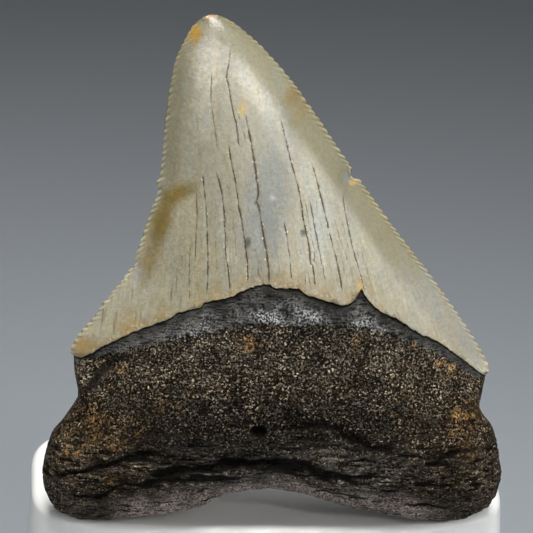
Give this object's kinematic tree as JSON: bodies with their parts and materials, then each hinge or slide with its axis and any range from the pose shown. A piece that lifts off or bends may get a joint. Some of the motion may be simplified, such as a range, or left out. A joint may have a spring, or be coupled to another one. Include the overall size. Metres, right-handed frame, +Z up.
{
  "type": "fossil megalodon tooth on display stand",
  "caption": "Broad triangular fossil shark tooth with serrated cutting edges and a dark two-lobed root, leaning back on a low white display block.",
  "frame": {"origin": "centre of the stand's underside", "axes": "+Z up, through the tooth's tip; -Y the way the tooth's thick inner face looks, which is the front; +X to the right when looking at that face"},
  "size_m": [0.0532, 0.0339, 0.0762],
  "materials": {
    "tooth": "mineralised fossil: glossy cream and olive-grey enamel with fine dark cracks over a porous, satin, charcoal-brown root",
    "stand": "glossy white moulded plastic with softly rounded edges"
  },
  "bodies": {
    "root": {"tooth": "tooth", "stand": "stand"}
  },
  "joints": []
}
